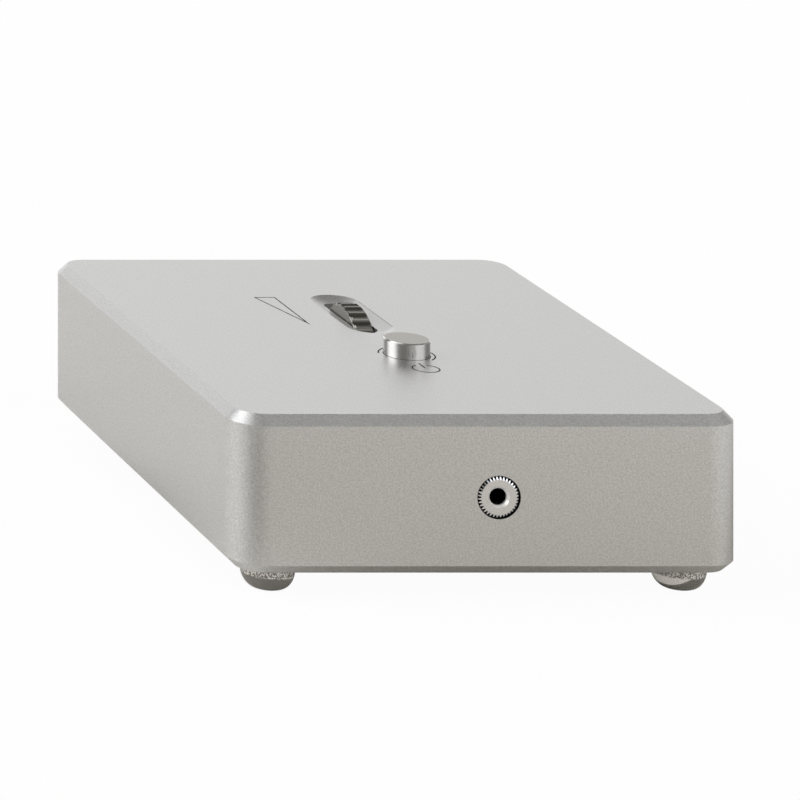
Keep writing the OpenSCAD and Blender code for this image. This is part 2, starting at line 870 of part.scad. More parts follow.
module ground_thumb_nut() {
    color("#c8a24a")
        translate([post_x, back_y + collar_t + lug_gap + washer_t, rear_z])
            rotate([-90, 0, 0])
                difference() {
                    rotate_extrude()
                        polygon([[post_d / 2 + running_gap, 0], [thumb_nut_d / 2 - thumb_nut_edge, 0],
                                 [thumb_nut_d / 2, thumb_nut_edge],
                                 [thumb_nut_d / 2, thumb_nut_l - thumb_nut_edge],
                                 [thumb_nut_d / 2 - thumb_nut_edge, thumb_nut_l],
                                 [post_d / 2 + running_gap, thumb_nut_l]]);
                    for (i = [0:thumb_nut_grooves - 1])
                        rotate(360 * i / thumb_nut_grooves)
                            translate([thumb_nut_d / 2 + thumb_groove_out, 0, -eps])
                                cylinder(d = thumb_groove_w, h = thumb_nut_l + 2 * eps, $fn = 4);
                }
}

// Moulded barrel of the power inlet, with a blind hole round the pin
module inlet_body() {
    color("#17181a")
        translate([inlet_x, back_y, rear_z])
            rotate([-90, 0, 0])
                difference() {
                    rotate_extrude()
                        polygon([[0, -inlet_body_l], [inlet_barrel_d / 2, -inlet_body_l],
                                 [inlet_barrel_d / 2, 0], [inlet_collar_d / 2, 0],
                                 [inlet_collar_d / 2, collar_t - inlet_edge],
                                 [inlet_collar_d / 2 - inlet_edge, collar_t], [0, collar_t]]);
                    translate([0, 0, collar_t - inlet_bore_l])
                        cylinder(d = inlet_bore_d, h = inlet_bore_l + eps);
                    translate([0, 0, collar_t - inlet_bore_l - inlet_root_l])
                        cylinder(d = inlet_root_d + 2 * seat_gap, h = inlet_root_l + eps);
                }
}

module inlet_pin() {
    color("#b9bbbe")
        union() {
            along_y(inlet_x, back_y + collar_t - inlet_bore_l, rear_z, inlet_pin_d,
                    inlet_bore_l - inlet_pin_short);
            along_y(inlet_x, back_y + collar_t - inlet_bore_l - inlet_root_l, rear_z, inlet_root_d,
                    inlet_root_l);
        }
}

module inlet_nut() {
    color("#b9bbbe")
        rear_nut(inlet_x, inlet_barrel_d);
}

// Body of the slide switch, against the inside of the rear wall
module selector_body() {
    color("#3a3c40")
        difference() {
            translate([selector_x - selector_body_w / 2, back_y - wall - selector_body_t,
                       rear_z - selector_body_h / 2])
                cube([selector_body_w, selector_body_t, selector_body_h]);
            translate([selector_x - window_w / 2, back_y - wall - slider_in - selector_gap,
                       rear_z - window_h / 2])
                cube([window_w, slider_in + selector_gap + eps, window_h]);
        }
}

// Slider, shown at the left end of its travel
module selector_slider() {
    color("#17181a")
        translate([selector_x - window_w / 2 + selector_gap, back_y - wall - slider_in,
                   rear_z - slider_h / 2])
            cube([slider_w, slider_in + wall + slider_out, slider_h]);
}

housing();
bottom_plate();
bottom_screws();
for (i = [0:3])
    foot(foot_places[i]);
main_board();
board_pillars();
board_screws();
electrolytic_capacitors();
film_capacitors();
amplifier_chips();
voltage_regulators();
headphone_body();
headphone_bush();
headphone_nut();
headphone_tags();
volume_wheel();
volume_spindle();
volume_wheel_screw();
volume_control();
volume_board();
power_button();
power_plunger();
power_spring();
power_switch();
phono_nuts();
ground_post();
ground_lock_nut();
ground_washer();
ground_thumb_nut();
inlet_body();
inlet_pin();
inlet_nut();
selector_body();
selector_slider();
for (i = [0:3]) {
    phono_shell(station_x(phono_stations[i]));
    phono_insulator(station_x(phono_stations[i]));
    phono_contact(station_x(phono_stations[i]));
}
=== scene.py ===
# Phono preamp in a bead-blasted, anodised aluminium case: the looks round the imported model
import math

import bmesh
import bpy
from mathutils import Matrix, Vector


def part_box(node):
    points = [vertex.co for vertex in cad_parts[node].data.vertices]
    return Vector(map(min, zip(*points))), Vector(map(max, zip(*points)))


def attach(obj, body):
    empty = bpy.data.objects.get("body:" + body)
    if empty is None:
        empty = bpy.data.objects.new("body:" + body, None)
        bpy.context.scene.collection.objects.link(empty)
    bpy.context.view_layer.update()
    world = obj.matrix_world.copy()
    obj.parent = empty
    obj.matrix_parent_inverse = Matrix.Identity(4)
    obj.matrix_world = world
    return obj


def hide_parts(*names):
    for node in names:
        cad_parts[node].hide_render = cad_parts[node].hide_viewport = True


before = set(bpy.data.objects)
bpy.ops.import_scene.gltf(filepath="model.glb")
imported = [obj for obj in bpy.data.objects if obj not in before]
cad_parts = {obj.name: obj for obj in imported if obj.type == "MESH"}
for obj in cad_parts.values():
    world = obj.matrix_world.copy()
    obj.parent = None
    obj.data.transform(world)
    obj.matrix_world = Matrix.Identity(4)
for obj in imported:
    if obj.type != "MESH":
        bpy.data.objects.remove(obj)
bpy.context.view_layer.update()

MM = 0.001
scene = bpy.context.scene

# Places that the rest is worked out from
case_low, case_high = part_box("housing")
button_low, button_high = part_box("power_button")
button_mid = (button_low + button_high) / 2
wheel_low, wheel_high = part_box("volume_wheel")
wheel_mid = (wheel_low + wheel_high) / 2
nut_low, nut_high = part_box("headphone_nut")
nut_mid = (nut_low + nut_high) / 2
FRONT = case_low.y
TOP = case_high.z


# Camera
# The photograph is a view camera's: its back stays upright and square to the front face, with the lens far
# to the upper left, so the front keeps its right angles while the sides run away. A lens shift of more than
# two frame widths would do it too, but would throw the object out of the other views, so the shear is in the
# camera's own matrix.
EYE = Vector((-402.8, -1080.0, 337.3)) * MM
SENSOR_WIDTH_MM = 36.0
PHOTO_SIZE = 800
PHOTO_FOCAL_PX = 4904.0
PHOTO_CENTRE_PX = (-1461.0, -1033.0)


def photo_camera():
    across = (PHOTO_SIZE / 2 - PHOTO_CENTRE_PX[0]) / PHOTO_FOCAL_PX
    down = (PHOTO_SIZE / 2 - PHOTO_CENTRE_PX[1]) / PHOTO_FOCAL_PX
    forward = Vector((across, 1.0, -down))
    stretch = forward.length
    data = bpy.data.cameras.new("photo_camera")
    data.sensor_width = SENSOR_WIDTH_MM
    data.lens = PHOTO_FOCAL_PX * stretch / PHOTO_SIZE * SENSOR_WIDTH_MM
    data.clip_start, data.clip_end = 0.05, 50.0
    camera = bpy.data.objects.new("photo_camera", data)
    scene.collection.objects.link(camera)
    stand = bpy.data.objects.new("camera_stand", None)
    scene.collection.objects.link(stand)
    back = -forward / stretch
    camera.parent = stand
    camera.matrix_parent_inverse = Matrix((
        (1.0, 0.0, back.x, EYE.x),
        (0.0, 0.0, back.y, EYE.y),
        (0.0, 1.0, back.z, EYE.z),
        (0.0, 0.0, 0.0, 1.0)))
    scene.camera = camera


photo_camera()


# Materials
def linear(hex_colour):
    channels = [int(hex_colour[i:i + 2], 16) / 255 for i in (1, 3, 5)]
    return [c / 12.92 if c <= 0.04045 else ((c + 0.055) / 1.055) ** 2.4 for c in channels] + [1.0]


def output(source):
    """A node stands for its first output."""
    return source.outputs[0] if hasattr(source, "outputs") else source


def add_node(owner, kind, settings=None, links=None):
    """Adds a node to a material or world. Settings are its properties, its sockets' values or, for a colour
    ramp, its stops with their colours. Links are the outputs, or the nodes, that feed its sockets."""
    node = owner.node_tree.nodes.new(kind)
    for name, value in (settings or {}).items():
        if name == "stops":
            for stop, (place, colour) in zip(node.color_ramp.elements, value):
                stop.position = place
                stop.color = linear(colour)
        elif isinstance(name, str) and hasattr(node, name):
            setattr(node, name, value)
        else:
            node.inputs[name].default_value = value
    for name, source in (links or {}).items():
        owner.node_tree.links.new(output(source), node.inputs[name])
    return node


def new_material(name, **shader):
    finish = bpy.data.materials.new(name)
    finish.use_nodes = True
    for socket, value in shader.items():
        shader_socket(finish, socket.replace("_", " ")).default_value = value
    return finish


def shader_socket(finish, name):
    return finish.node_tree.nodes["Principled BSDF"].inputs[name]


def feed(finish, name, source):
    """Lets a source feed a socket of the material's shader."""
    finish.node_tree.links.new(output(source), shader_socket(finish, name))


def grain(finish, size_mm, detail=2.0, stretch=(1.0, 1.0, 1.0)):
    """An even grain with lumps size_mm across, drawn out along an axis where stretch is below 1."""
    place = add_node(finish, "ShaderNodeTexCoord").outputs["Object"]
    if stretch != (1.0, 1.0, 1.0):
        place = add_node(finish, "ShaderNodeMapping", {"Scale": stretch}, {"Vector": place})
    return add_node(finish, "ShaderNodeTexNoise", {"Scale": 1 / (size_mm * MM), "Detail": detail},
                    {"Vector": place})


# A grain's values lie round 0.5 and hardly leave this band
GRAIN_BAND = (0.35, 0.65)


def tint(finish, where, colour):
    """Turns the base colour into another where a mask is 1. The colour is a hex value or a node's."""
    so_far = shader_socket(finish, "Base Color").links[0].from_socket
    mixed = add_node(finish, "ShaderNodeMix", {"data_type": "RGBA"}, {"Factor": where, 6: so_far})
    if isinstance(colour, str):
        mixed.inputs[7].default_value = linear(colour)
    else:
        finish.node_tree.links.new(output(colour), mixed.inputs[7])
    feed(finish, "Base Color", mixed.outputs[2])


def vary(finish, pattern, colours, rough, relief_mm):
    """Varies the colour between two near ones, the roughness and the relief along a pattern."""
    feed(finish, "Base Color", add_node(finish, "ShaderNodeValToRGB", {"stops": zip(GRAIN_BAND, colours)},
                                        {"Fac": pattern}))
    feed(finish, "Roughness", add_node(finish, "ShaderNodeMapRange", {
        "From Min": GRAIN_BAND[0], "From Max": GRAIN_BAND[1], "To Min": rough[0], "To Max": rough[1]},
        {"Value": pattern}))
    if relief_mm:
        feed(finish, "Normal", add_node(finish, "ShaderNodeBump", {"Distance": relief_mm * MM},
                                        {"Height": pattern}))


def surface(name, colours, grain_mm, rough, relief_mm=0.0, detail=2.0, stretch=(1.0, 1.0, 1.0), **shader):
    """A finish with the same grain all over."""
    finish = new_material(name, **shader)
    vary(finish, grain(finish, grain_mm, detail, stretch), colours, rough, relief_mm)
    return finish


def finish_nodes(material, *nodes):
    for node in nodes:
        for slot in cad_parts[node].material_slots:
            slot.material = material


# Anodised aluminium, milled and then bead blasted: pale, quite rough metal with a fine even grain. The real
# grain is about 0.1 mm, and is drawn at 0.36 mm so that it shows. The narrow gap round the ring nut is
# painted dark, as shade.
BLAST_GRAIN_MM = 0.36
NUT_RADIUS = (nut_high.z - nut_low.z) / 2
POCKET_REACH = 0.3 * MM
POCKET_LIP = 0.16 * MM
PAINTED_GAP_SHADE = "#1d1c1b"


def round_the_nut(finish):
    """A point's X, Y and Z from the middle of the ring nut's face, and its distance from the nut's axis."""
    face_mid = (nut_mid.x, FRONT, nut_mid.z)
    place = add_node(finish, "ShaderNodeVectorMath", {"operation": "SUBTRACT", 1: face_mid},
                     {0: add_node(finish, "ShaderNodeTexCoord").outputs["Object"]})
    flat = add_node(finish, "ShaderNodeVectorMath", {"operation": "MULTIPLY", 1: (1.0, 0.0, 1.0)}, {0: place})
    radius = add_node(finish, "ShaderNodeVectorMath", {"operation": "LENGTH"}, {0: flat}).outputs["Value"]
    return add_node(finish, "ShaderNodeSeparateXYZ", None, {"Vector": place}).outputs, radius


def blasted_aluminium():
    finish = surface("bead_blasted_anodised_aluminium", ("#c6c7c8", "#dbdcdd"), BLAST_GRAIN_MM, (0.38, 0.46),
                     relief_mm=0.016, Metallic=1.0)
    sides, radius = round_the_nut(finish)
    near = add_node(finish, "ShaderNodeMath", {"operation": "LESS_THAN", 1: NUT_RADIUS + POCKET_REACH},
                    {0: radius})
    deep = add_node(finish, "ShaderNodeMath", {"operation": "GREATER_THAN", 1: POCKET_LIP}, {0: sides["Y"]})
    painted_gap_shade = add_node(finish, "ShaderNodeMath", {"operation": "MULTIPLY"}, {0: near, 1: deep})
    # painted shade: the case's wall down in the gap round the ring nut is coloured near black
    tint(finish, painted_gap_shade, PAINTED_GAP_SHADE)
    return finish


finish_nodes(blasted_aluminium(), "housing")

# Sheet steel, powder coated: dark, with the soft orange-peel lumps of the coat
powder_coat = surface("powder_coated_steel", ("#4a4b4c", "#535455"), grain_mm=0.7, rough=(0.42, 0.55),
                      relief_mm=0.03)
finish_nodes(powder_coat, "bottom_plate")

# Zinc plated steel: bluish grey metal, slightly uneven
zinc_plate = surface("zinc_plated_steel", ("#a9abae", "#bcbec0"), grain_mm=0.6, rough=(0.28, 0.4),
                     Metallic=1.0)
finish_nodes(zinc_plate, "board_screws", "phono_nuts", "ground_lock_nut", "inlet_nut", "volume_wheel_screw")

# Spring steel wire, drawn: darker, smooth metal with a fine uneven sheen
spring_wire = surface("drawn_spring_steel", ("#8d8f92", "#a2a4a6"), grain_mm=0.2, rough=(0.22, 0.34),
                      Metallic=1.0)
finish_nodes(spring_wire, "power_spring")

# Machine screws, blackened: nearly black metal with an oily sheen
black_oxide = surface("black_oxide_steel", ("#2b2b2c", "#3a3a3b"), grain_mm=0.4, rough=(0.34, 0.46),
                      Metallic=1.0)
finish_nodes(black_oxide, "bottom_screws")

# Turned metal: the tool leaves fine rings round the axis, which runs along X
TURNED_RELIEF_MM = 0.004


def turned_metal(name, colours, rough, centre, pitch_mm):
    finish = new_material(name, Metallic=1.0)
    from_axis = add_node(finish, "ShaderNodeMapping", {"Scale": (0.0, 1.0, 1.0),
                                                       "Location": (0.0, -centre.y, -centre.z)},
                         {"Vector": add_node(finish, "ShaderNodeTexCoord").outputs["Object"]})
    radius = add_node(finish, "ShaderNodeVectorMath", {"operation": "LENGTH"}, {0: from_axis})
    rings_out = add_node(finish, "ShaderNodeMath", {"operation": "MULTIPLY", 1: 1 / (pitch_mm * MM)},
                         {0: radius.outputs["Value"]})
    rings = add_node(finish, "ShaderNodeTexNoise", {"noise_dimensions": "1D", "Scale": 1.0, "Detail": 3.0},
                     {"W": rings_out})
    vary(finish, rings, colours, rough, TURNED_RELIEF_MM)
    return finish


# Turned aluminium, grey anodised. The rim is tinted darker than the flanks, and its finger grooves are
# painted darker still towards their floor, as shade.
WHEEL_RADIUS = (wheel_high.y - wheel_low.y) / 2
WHEEL_HALF = (wheel_high.x - wheel_low.x) / 2
WHEEL_EDGE = 0.05 * MM
GROOVE_SHADE_START = 0.01 * MM
GROOVE_SHADE_DEPTH = 0.12 * MM


def ribbed_wheel():
    finish = turned_metal("turned_grey_aluminium", ("#a3a09b", "#b5b2ad"), (0.3, 0.42), wheel_mid,
                          pitch_mm=0.12)
    place = add_node(finish, "ShaderNodeVectorMath", {"operation": "SUBTRACT", 1: wheel_mid},
                     {0: add_node(finish, "ShaderNodeTexCoord").outputs["Object"]})
    across = add_node(finish, "ShaderNodeSeparateXYZ", None, {"Vector": place}).outputs["X"]
    on_rim = add_node(finish, "ShaderNodeMath", {"operation": "COMPARE", 1: 0.0, 2: WHEEL_HALF - WHEEL_EDGE},
                      {0: across})
    flat = add_node(finish, "ShaderNodeVectorMath", {"operation": "MULTIPLY", 1: (0.0, 1.0, 1.0)}, {0: place})
    radius = add_node(finish, "ShaderNodeVectorMath", {"operation": "LENGTH"}, {0: flat}).outputs["Value"]
    sunk = add_node(finish, "ShaderNodeMapRange", {"From Min": WHEEL_RADIUS - GROOVE_SHADE_START,
                                                   "From Max": WHEEL_RADIUS - GROOVE_SHADE_DEPTH},
                    {"Value": radius})
    painted_groove_shade = add_node(finish, "ShaderNodeMath", {"operation": "MULTIPLY"}, {0: sunk, 1: on_rim})
    tint(finish, on_rim, "#91908b")
    # painted shade in the finger grooves, fading in from just below the crests
    tint(finish, painted_groove_shade, "#696863")
    return finish


finish_nodes(ribbed_wheel(), "volume_wheel")

# Brass bar, turned: dull yellow metal
spindle_metal = turned_metal("turned_brass_spindle", ("#b8a46a", "#c9b57a"), (0.25, 0.36), wheel_mid,
                             pitch_mm=0.15)
finish_nodes(spindle_metal, "volume_spindle")


# Stainless steel, turned and polished: the side keeps the tool's fine rings, which draw every light out into
# an upright streak, and the flat top is faced to a satin and painted darker, as shade
def turned_button():
    finish = new_material("turned_stainless_steel", Metallic=1.0, Anisotropic_Rotation=0.25)
    lines = grain(finish, 0.15, stretch=(0.02, 0.02, 1.0))
    feed(finish, "Tangent", add_node(finish, "ShaderNodeTangent", {"direction_type": "RADIAL", "axis": "Z"}))
    normal = add_node(finish, "ShaderNodeNewGeometry").outputs["Normal"]
    facing_up = add_node(finish, "ShaderNodeSeparateXYZ", None, {"Vector": normal}).outputs["Z"]
    on_face = add_node(finish, "ShaderNodeMapRange", {"From Min": 0.85, "From Max": 0.95},
                       {"Value": facing_up})
    side_colour = add_node(finish, "ShaderNodeValToRGB", {"stops": zip(GRAIN_BAND, ("#cdccca", "#d3d2d0"))},
                           {"Fac": lines})
    # painted shade: the flat top's colours are darker than the side's
    painted_shade_face_colour = add_node(finish, "ShaderNodeValToRGB", {"stops": zip(GRAIN_BAND, ("#a9a7a2", "#b5b3ae"))},
                           {"Fac": grain(finish, 0.2)})
    colour = add_node(finish, "ShaderNodeMix", {"data_type": "RGBA"},
                      {"Factor": on_face, 6: side_colour, 7: painted_shade_face_colour})
    feed(finish, "Base Color", colour.outputs[2])
    feed(finish, "Roughness", add_node(finish, "ShaderNodeMapRange", {"To Min": 0.17, "To Max": 0.42},
                                       {"Value": on_face}))
    feed(finish, "Anisotropic", add_node(finish, "ShaderNodeMapRange", {"To Min": 0.6, "To Max": 0.0},
                                         {"Value": on_face}))
    feed(finish, "Normal", add_node(finish, "ShaderNodeBump", {"Distance": 0.0006 * MM}, {"Height": lines}))
    return finish


finish_nodes(turned_button(), "power_button")

# Nickel plated brass: bright, smooth metal
NICKEL_SHADES = ("#d3d4d5", "#dfe0e1")


def nickel_plate(name, colours):
    return surface(name, colours, grain_mm=0.25, rough=(0.16, 0.24), relief_mm=0.002, Metallic=1.0)


finish_nodes(nickel_plate("nickel_plated_brass", NICKEL_SHADES), "inlet_pin")

# The headphone socket's coned mouth and the first of the bore behind it are painted near white and made
# mostly non-metallic, a painted highlight which takes light from all sides
MOUTH_RADIUS = 2.2 * MM
MOUTH_LIP = 0.02 * MM
MOUTH_DEPTH = 1.1 * MM


def painted_mouth_highlight(finish, depth, radius):
    within = add_node(finish, "ShaderNodeMath", {"operation": "LESS_THAN", 1: MOUTH_RADIUS}, {0: radius})
    behind_face = add_node(finish, "ShaderNodeMath", {"operation": "GREATER_THAN", 1: MOUTH_LIP}, {0: depth})
    in_reach = add_node(finish, "ShaderNodeMath", {"operation": "LESS_THAN", 1: MOUTH_DEPTH}, {0: depth})
    ring = add_node(finish, "ShaderNodeMath", {"operation": "MULTIPLY"}, {0: within, 1: behind_face})
    mouth = add_node(finish, "ShaderNodeMath", {"operation": "MULTIPLY"}, {0: ring, 1: in_reach})
    # painted highlight: the mouth is coloured near white
    tint(finish, mouth, "#fbfaf8")
    feed(finish, "Metallic", add_node(finish, "ShaderNodeMapRange", {"To Min": 1.0, "To Max": 0.25},
                                      {"Value": mouth}))


def jack_bush():
    finish = nickel_plate("nickel_plated_bush", NICKEL_SHADES)
    sides, radius = round_the_nut(finish)
    painted_mouth_highlight(finish, sides["Y"], radius)
    return finish


finish_nodes(jack_bush(), "headphone_bush")

# The ring nut's bevelled teeth stand out bright between V-shaped gaps, widest at the rim, which are painted
# dark as shade, as is the nut's side down in its pocket. Half a gap's width is given at the bevel's foot and
# at the rim, as a share of the teeth's pitch.
NUT_TEETH = 36
NUT_BEVEL_WIDTH = 0.6 * MM
NUT_BEVEL_DEPTH = 0.3 * MM
NUT_RIM_LIP = 0.06 * MM
HALF_GAP_AT_FOOT = 0.14
HALF_GAP_AT_RIM = 0.4


def toothed_nut():
    finish = nickel_plate("nickel_plated_toothed_nut", ("#dee1e6", "#eaedf2"))
    sides, radius = round_the_nut(finish)
    angle = add_node(finish, "ShaderNodeMath", {"operation": "ARCTAN2"}, {0: sides["Z"], 1: sides["X"]})
    pitches = add_node(finish, "ShaderNodeMath", {"operation": "MULTIPLY_ADD", 1: NUT_TEETH / math.tau,
                                                  2: NUT_TEETH + 0.5}, {0: angle})
    along_pitch = add_node(finish, "ShaderNodeMath", {"operation": "FRACT"}, {0: pitches})
    from_middle = add_node(finish, "ShaderNodeMath", {"operation": "SUBTRACT", 1: 0.5}, {0: along_pitch})
    from_gap = add_node(finish, "ShaderNodeMath", {"operation": "ABSOLUTE"}, {0: from_middle})
    bevel_foot = NUT_RADIUS - NUT_BEVEL_WIDTH
    half_gap = add_node(finish, "ShaderNodeMapRange", {
        "From Min": bevel_foot, "From Max": NUT_RADIUS, "To Min": HALF_GAP_AT_FOOT,
        "To Max": HALF_GAP_AT_RIM}, {"Value": radius})
    in_gap = add_node(finish, "ShaderNodeMath", {"operation": "LESS_THAN"}, {0: from_gap, 1: half_gap})
    on_bevel = add_node(finish, "ShaderNodeMath", {"operation": "GREATER_THAN", 1: bevel_foot}, {0: radius})
    painted_gap_shade = add_node(finish, "ShaderNodeMath", {"operation": "MULTIPLY"}, {0: in_gap, 1: on_bevel})
    rim = add_node(finish, "ShaderNodeMath", {"operation": "GREATER_THAN", 1: NUT_BEVEL_DEPTH + NUT_RIM_LIP},
                   {0: sides["Y"]})
    painted_nut_shade = add_node(finish, "ShaderNodeMath", {"operation": "MAXIMUM"}, {0: painted_gap_shade, 1: rim})
    # painted shade in the gaps between the teeth and on the nut's side behind the bevel
    tint(finish, painted_nut_shade, PAINTED_GAP_SHADE)
    painted_mouth_highlight(finish, sides["Y"], radius)
    return finish


finish_nodes(toothed_nut(), "headphone_nut")

# Tinned copper alloy: the solder tags, softer and duller
tinned = surface("tinned_brass_tag", ("#b4b5b6", "#c6c7c8"), grain_mm=0.5, rough=(0.35, 0.5), Metallic=1.0)
finish_nodes(tinned, "headphone_tags")

# Gold plated brass, turned: warm and glossy, with a faint grain drawn out from front to back
gold = surface("gold_plated_brass", ("#d9b46a", "#e4c27c"), grain_mm=0.4, rough=(0.17, 0.27),
               relief_mm=0.002, stretch=(1.0, 0.1, 1.0), Metallic=1.0)
finish_nodes(gold, "ground_washer", "ground_thumb_nut",
             *[side + part for side in ("output_left", "output_right", "input_left", "input_right")
               for part in ("_shell", "_contact")])

# Brass bar, milled to a hexagon: yellow metal, duller than the plated parts
brass = surface("milled_brass", ("#b99b58", "#c8ab68"), grain_mm=0.4, rough=(0.3, 0.42), Metallic=1.0)
finish_nodes(brass, "board_pillars")

# PTFE, moulded: milky, slightly waxy. Red marks the right channel, as on such sockets.
white_ptfe = surface("white_moulded_ptfe", ("#e4e3dd", "#ecebe6"), grain_mm=0.8, rough=(0.4, 0.5),
                     relief_mm=0.004)
finish_nodes(white_ptfe, "output_left_insulator", "input_left_insulator")
red_ptfe = surface("red_moulded_ptfe", ("#9e2a22", "#a9332a"), grain_mm=0.8, rough=(0.4, 0.5),
                   relief_mm=0.004)
finish_nodes(red_ptfe, "output_right_insulator", "input_right_insulator")

# Acetal, moulded: the plunger, off-white and slick
acetal = surface("moulded_acetal", ("#dedcd2", "#e6e4db"), grain_mm=0.8, rough=(0.32, 0.42), relief_mm=0.003)
finish_nodes(acetal, "power_plunger")

# Glass filled nylon and PBT, moulded: black and dark grey with a faint mottled sheen
black_nylon = surface("moulded_black_nylon", ("#161617", "#202021"), grain_mm=0.5, rough=(0.38, 0.55),
                      relief_mm=0.008)
finish_nodes(black_nylon, "headphone_body", "inlet_body", "power_switch", "selector_slider")
grey_pbt = surface("moulded_grey_pbt", ("#3b3d40", "#46484b"), grain_mm=0.5, rough=(0.4, 0.55),
                   relief_mm=0.008)
finish_nodes(grey_pbt, "volume_control", "selector_body")

# Epoxy mould compound: chip bodies, dull black with a fine matte grain
epoxy_compound = surface("epoxy_mould_compound", ("#1b1b1c", "#272728"), grain_mm=0.15, rough=(0.55, 0.7),
                         relief_mm=0.006)
finish_nodes(epoxy_compound, "amplifier_chips", "voltage_regulators")

# Film capacitors: boxes filled with epoxy, glossy red
film_box = surface("red_capacitor_box", ("#a8362b", "#b33e32"), grain_mm=1.2, rough=(0.22, 0.3),
                   relief_mm=0.01)
finish_nodes(film_box, "film_capacitors")

# Electrolytic capacitors: a black shrunk sleeve, and a bare aluminium top above its rim
CAN_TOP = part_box("electrolytic_capacitors")[1].z
SLEEVE_RIM = 0.2 * MM


def capacitor_can():
    finish = surface("capacitor_sleeve_and_can", ("#1c2027", "#252a32"), grain_mm=0.8, rough=(0.25, 0.35))
    place = add_node(finish, "ShaderNodeTexCoord").outputs["Object"]
    height = add_node(finish, "ShaderNodeSeparateXYZ", None, {"Vector": place}).outputs["Z"]
    bare = add_node(finish, "ShaderNodeMath", {"operation": "GREATER_THAN", 1: CAN_TOP - SLEEVE_RIM},
                    {0: height})
    aluminium = add_node(finish, "ShaderNodeValToRGB", {"stops": zip(GRAIN_BAND, ("#b9bbbd", "#c9cbcd"))},
                         {"Fac": grain(finish, 0.8)})
    tint(finish, bare, aluminium)
    feed(finish, "Metallic", bare)
    return finish


finish_nodes(capacitor_can(), "electrolytic_capacitors")

# Glass-epoxy circuit board under green solder mask: paler over the copper tracks, with a small step at
# their edges
TRACK_LENGTH = 9 * MM
TRACK_PITCH = 2.2 * MM
TRACK_GAP = 0.25 * MM


def solder_mask():
    finish = new_material("green_solder_mask", Coat_Weight=0.5, Coat_Roughness=0.15)
    tracks = add_node(finish, "ShaderNodeTexBrick", {
        "Scale": 1.0, "Brick Width": TRACK_LENGTH, "Row Height": TRACK_PITCH, "Mortar Size": TRACK_GAP,
        "Color1": linear("#1f5c3c"), "Color2": linear("#236343"), "Mortar": linear("#174a30")},
        {"Vector": add_node(finish, "ShaderNodeTexCoord").outputs["Object"]})
    feed(finish, "Base Color", tracks)
    feed(finish, "Roughness", add_node(finish, "ShaderNodeMapRange", {
        "From Min": GRAIN_BAND[0], "From Max": GRAIN_BAND[1], "To Min": 0.3, "To Max": 0.42},
        {"Value": grain(finish, 1.0)}))
    feed(finish, "Normal", add_node(finish, "ShaderNodeBump", {"Strength": 0.5, "Distance": 0.02 * MM},
                                    {"Height": tracks.outputs["Fac"]}))
    return finish


finish_nodes(solder_mask(), "main_board", "volume_board")


# New pieces
def mesh_piece(name, shape, body, material, smooth=False):
    """Makes a bmesh a piece that rides on a body; its faces point outwards."""
    bmesh.ops.remove_doubles(shape, verts=shape.verts[:], dist=0.0005 * MM)
    bmesh.ops.recalc_face_normals(shape, faces=shape.faces[:])
    mesh = bpy.data.meshes.new(name)
    shape.to_mesh(mesh)
    shape.free()
    piece = bpy.data.objects.new(name, mesh)
    scene.collection.objects.link(piece)
    mesh.materials.append(material)
    for face in mesh.polygons:
        face.use_smooth = smooth
    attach(piece, body)
    return piece


# Marks on the top: lines burnt into the anodising by laser, matt dark grey. They lie in the surface, and are
# drawn a fortieth of a millimetre proud so that they show.
MARK_LIFT = 0.025 * MM
MARK_SINK = 0.05 * MM
MARK_WIDTH = 0.3 * MM
laser_mark = surface("laser_marked_anodising", ("#2f2d2b", "#3d3b38"), grain_mm=0.15, rough=(0.6, 0.75),
                     relief_mm=0.004, Specular_IOR_Level=0.1)


def on_top(x_mm, y_mm, sink=0.0):
    return Vector((x_mm * MM, y_mm * MM, TOP - sink))


def ring_mark(name, centre, radius, start, end):
    """An arc from start to end, in degrees round from +X."""
    shape = bmesh.new()
    inner = shape.verts.new(centre + Vector((radius - MARK_WIDTH / 2, 0, -MARK_SINK)))
    outer = shape.verts.new(centre + Vector((radius + MARK_WIDTH / 2, 0, -MARK_SINK)))
    edge = shape.edges.new((inner, outer))
    bmesh.ops.rotate(shape, verts=shape.verts[:], cent=centre,
                     matrix=Matrix.Rotation(math.radians(start), 3, "Z"))
    bmesh.ops.spin(shape, geom=[inner, outer, edge], cent=centre, axis=(0, 0, 1),
                   angle=math.radians(end - start), steps=96, use_merge=False)
    bmesh.ops.solidify(shape, geom=shape.faces[:], thickness=MARK_SINK + MARK_LIFT)
    low = min(v.co.z for v in shape.verts)
    bmesh.ops.translate(shape, verts=shape.verts[:], vec=(0, 0, centre.z - MARK_SINK - low))
    return mesh_piece(name, shape, "case", laser_mark)


def raised_mark(name, shape, material):
    """Gives a flat mark, which lies under the surface, its thickness."""
    grown = bmesh.ops.extrude_face_region(shape, geom=shape.faces[:])
    bmesh.ops.translate(shape, verts=[v for v in grown["geom"] if isinstance(v, bmesh.types.BMVert)],
                        vec=(0, 0, MARK_SINK + MARK_LIFT))
    return mesh_piece(name, shape, "case", material)


def stroke_mark(name, start, end, width=MARK_WIDTH, material=laser_mark):
    """A straight line between two points on the top."""
    a, b = (on_top(x, y, MARK_SINK) for x, y in (start, end))
    side = (b - a).cross(Vector((0, 0, 1))).normalized() * width / 2
    shape = bmesh.new()
    shape.faces.new([shape.verts.new(p) for p in (a - side, b - side, b + side, a + side)])
    return raised_mark(name, shape, material)


def outline_mark(name, corners, width):
    """An outlined flat shape whose outer edge runs through the corners."""
    shape = bmesh.new()
    face = shape.faces.new([shape.verts.new(on_top(x, y, MARK_SINK)) for x, y in corners])
    face.normal_update()
    bmesh.ops.inset_region(shape, faces=[face], thickness=width, use_even_offset=True, use_boundary=True)
    bmesh.ops.delete(shape, geom=[face], context="FACES_ONLY")
    return raised_mark(name, shape, laser_mark)


